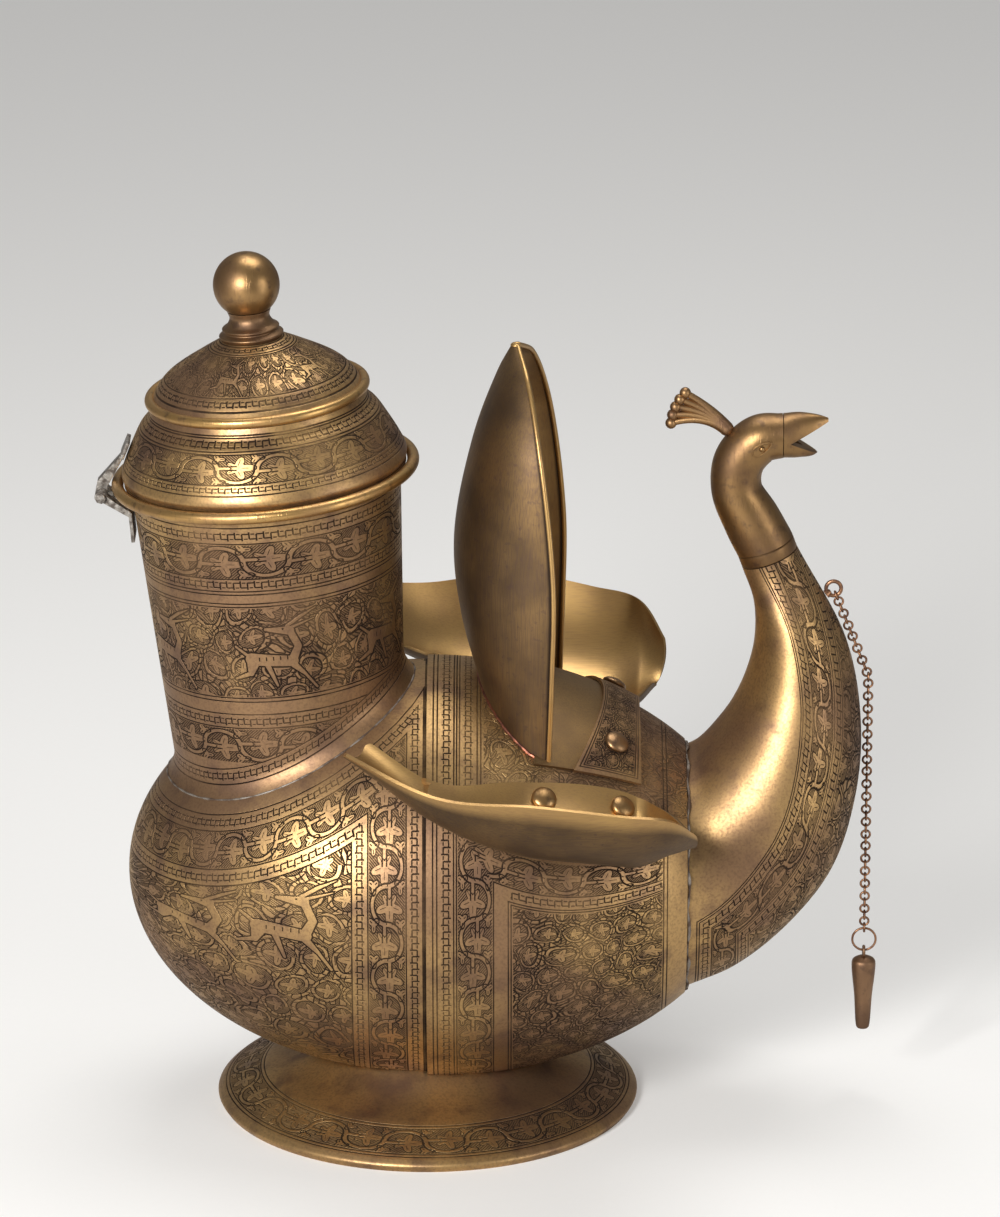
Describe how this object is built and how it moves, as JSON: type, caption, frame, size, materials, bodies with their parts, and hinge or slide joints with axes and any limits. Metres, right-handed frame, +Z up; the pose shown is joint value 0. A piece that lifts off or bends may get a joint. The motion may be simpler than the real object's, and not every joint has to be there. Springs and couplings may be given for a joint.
{
  "type": "brass water jug",
  "caption": "Engraved brass water jug shaped as a peacock: oval body on a ring foot, lidded filler tower on the back, neck and open beak as the spout.",
  "frame": {"origin": "middle of the bounding box in plan, on the plane the foot stands on", "axes": "+X to the beak, +Y to the bird's left, +Z up"},
  "size_m": [0.3118, 0.2578, 0.3541],
  "materials": {
    "engraved": "engraved, dark in the cuts",
    "bright": "rubbed bright",
    "brown": "brown patina",
    "copper": "reddish brown patina",
    "tinned": "tinned, dull grey"
  },
  "bodies": {
    "jug": {"foot": "engraved", "body_rear": "engraved", "body_front": "engraved", "filler_neck": "engraved", "filler_rim": "bright", "hinge_neck_leaf": "tinned", "hinge_pin": "tinned", "bird_neck": "engraved", "neck_ferrule": "bright", "bird_head": "bright", "beak": "bright", "crest": "copper", "wing_right": "brown", "wing_left": "brown", "back_plume": "brown", "plume_strap": "engraved", "wing_rivet_right_rear": "bright", "wing_rivet_right_front": "bright", "wing_rivet_left_rear": "bright", "wing_rivet_left_front": "bright", "plume_rivet_right": "bright", "plume_rivet_left": "bright", "chain_eye": "copper"},
    "lid": {"lid_dome": "engraved", "lid_cap": "engraved", "finial_stem": "brown", "finial_ball": "bright", "hinge_lid_leaf": "tinned"},
    "chain_1": {"chain_run_1": "copper"},
    "chain_2": {"chain_run_2": "copper"},
    "chain_3": {"chain_run_3": "copper"},
    "chain_4": {"chain_run_4": "copper"},
    "chain_5": {"chain_run_5": "copper"},
    "ring": {"stopper_ring": "copper"},
    "plug": {"stopper": "copper"}
  },
  "joints": [
    {"name": "lid_hinge", "type": "hinge", "parent": "jug", "child": "lid", "pos_m": [-0.15336, 0, 0.25583], "axis": [0, -1, 0], "range_deg": [0, 110]},
    {"name": "chain_swing_1", "type": "hinge", "parent": "jug", "child": "chain_1", "pos_m": [0.13624, 0, 0.21544], "axis": [0, -1, 0], "range_deg": [0, 60]},
    {"name": "chain_swing_2", "type": "hinge", "parent": "chain_1", "child": "chain_2", "pos_m": [0.14391, 0, 0.19584], "axis": [0, -1, 0], "range_deg": [0, 50]},
    {"name": "chain_swing_3", "type": "hinge", "parent": "chain_2", "child": "chain_3", "pos_m": [0.15061, 0, 0.17871], "axis": [1, 0, 0], "range_deg": [-30, 30]},
    {"name": "chain_swing_4", "type": "hinge", "parent": "chain_3", "child": "chain_4", "pos_m": [0.15061, 0, 0.13871], "axis": [0, -1, 0], "range_deg": [-5, 50]},
    {"name": "chain_swing_5", "type": "hinge", "parent": "chain_4", "child": "chain_5", "pos_m": [0.15061, 0, 0.10951], "axis": [1, 0, 0], "range_deg": [-30, 30]},
    {"name": "ring_swing", "type": "hinge", "parent": "chain_5", "child": "ring", "pos_m": [0.15061, 0, 0.06951], "axis": [0, -1, 0], "range_deg": [-40, 40]},
    {"name": "stopper_swing", "type": "hinge", "parent": "ring", "child": "plug", "pos_m": [0.15061, 0, 0.06141], "axis": [1, 0, 0], "range_deg": [-40, 40]}
  ]
}
